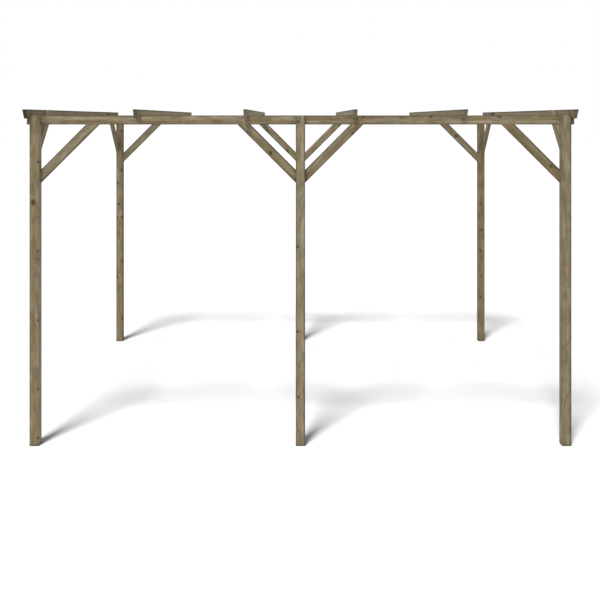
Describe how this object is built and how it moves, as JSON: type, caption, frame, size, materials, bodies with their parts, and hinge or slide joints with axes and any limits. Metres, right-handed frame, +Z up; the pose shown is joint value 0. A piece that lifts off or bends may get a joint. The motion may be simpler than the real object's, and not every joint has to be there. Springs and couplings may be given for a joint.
{
  "type": "open timber carport frame",
  "caption": "Open timber carport frame: square posts in two rows, a beam along each row, slant-ended rafters across and 45 degree corner braces; no roof covering.",
  "frame": {"origin": "on the ground, at the middle of the whole plan, rafter ends included", "axes": "+X along the beams, from the left post to the right one; +Y from the front row of posts to the back row, along the rafters; +Z up"},
  "size_m": [4.113, 3.122, 2.5125],
  "materials": {
    "posts": "matte",
    "beams": "matte",
    "rafters": "matte",
    "braces": "matte",
    "screws": "satin"
  },
  "bodies": {
    "root": {"front_left_post": "posts", "front_middle_post": "posts", "front_right_post": "posts", "back_left_post": "posts", "back_middle_post": "posts", "back_right_post": "posts", "front_left_beam": "beams", "front_right_beam": "beams", "back_left_beam": "beams", "back_right_beam": "beams", "rafter_1": "rafters", "rafter_2": "rafters", "rafter_3": "rafters", "rafter_4": "rafters", "rafter_5": "rafters", "rafter_6": "rafters", "front_left_brace": "braces", "front_middle_left_brace": "braces", "front_middle_right_brace": "braces", "front_right_brace": "braces", "back_left_brace": "braces", "back_middle_left_brace": "braces", "back_middle_right_brace": "braces", "back_right_brace": "braces", "front_left_side_brace": "braces", "front_right_side_brace": "braces", "back_left_side_brace": "braces", "back_right_side_brace": "braces"}
  },
  "joints": []
}
